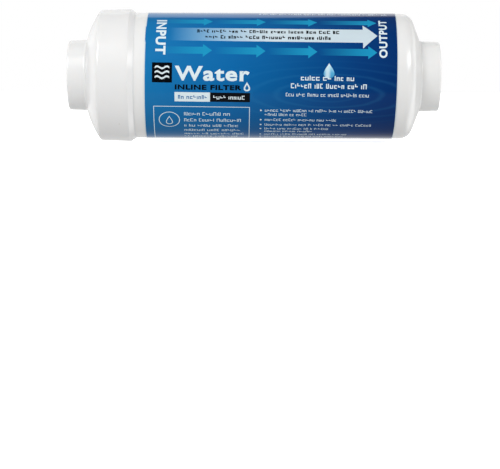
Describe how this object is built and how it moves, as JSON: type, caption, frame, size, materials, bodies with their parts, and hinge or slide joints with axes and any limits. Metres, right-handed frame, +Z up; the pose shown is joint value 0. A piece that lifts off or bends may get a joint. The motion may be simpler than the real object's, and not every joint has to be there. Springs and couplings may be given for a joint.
{
  "type": "inline water filter",
  "caption": "Sealed cylindrical inline water filter with a domed welded cap, a wrap-round blue label and a female threaded port on the axis at each end.",
  "frame": {"origin": "on the cartridge's axis, half way between its two port faces", "axes": "+X along the axis in the direction of flow, from the inlet port to the outlet port; the front of the label faces -Y; +Z up"},
  "size_m": [0.1778, 0.0634, 0.0634],
  "materials": {
    "housing_white": "semi-gloss moulded polypropylene",
    "cap_white": "semi-gloss moulded polypropylene",
    "label_film": "printed blue plastic film, glossy",
    "screen_steel": "perforated stainless steel",
    "retainer_plastic": "moulded natural plastic",
    "spring_steel": "drawn stainless wire",
    "end_cap_plastic": "moulded polypropylene",
    "hot_melt": "amber hot-melt glue",
    "carbon": "sintered black carbon, porous",
    "liner_plastic": "extruded perforated plastic",
    "fleece": "white non-woven fleece",
    "net_plastic": "extruded plastic net",
    "seal_rubber": "black rubber",
    "module_plastic": "moulded ABS",
    "membrane": "white porous hollow fibre",
    "resin": "cast amber resin",
    "support_plastic": "moulded polypropylene",
    "pad_fleece": "porous white polymer pad"
  },
  "bodies": {
    "root": {"housing_body": "housing_white", "inlet_cap": "cap_white", "label": "label_film", "inlet_screen": "screen_steel", "screen_retainer": "retainer_plastic", "stack_spring": "spring_steel", "block_inlet_cap": "end_cap_plastic", "inlet_glue_bead": "hot_melt", "carbon_block": "carbon", "core_liner": "liner_plastic", "sediment_fleece": "fleece", "net_sleeve": "net_plastic", "outlet_glue_bead": "hot_melt", "block_outlet_cap": "end_cap_plastic", "spigot_o_ring": "seal_rubber", "module_header": "module_plastic", "module_shell": "module_plastic", "membrane_fibres": "membrane", "fibre_potting": "resin", "potting_flange": "module_plastic", "flange_o_rings": "seal_rubber", "outlet_support": "support_plastic", "outlet_pad": "pad_fleece"}
  },
  "joints": []
}
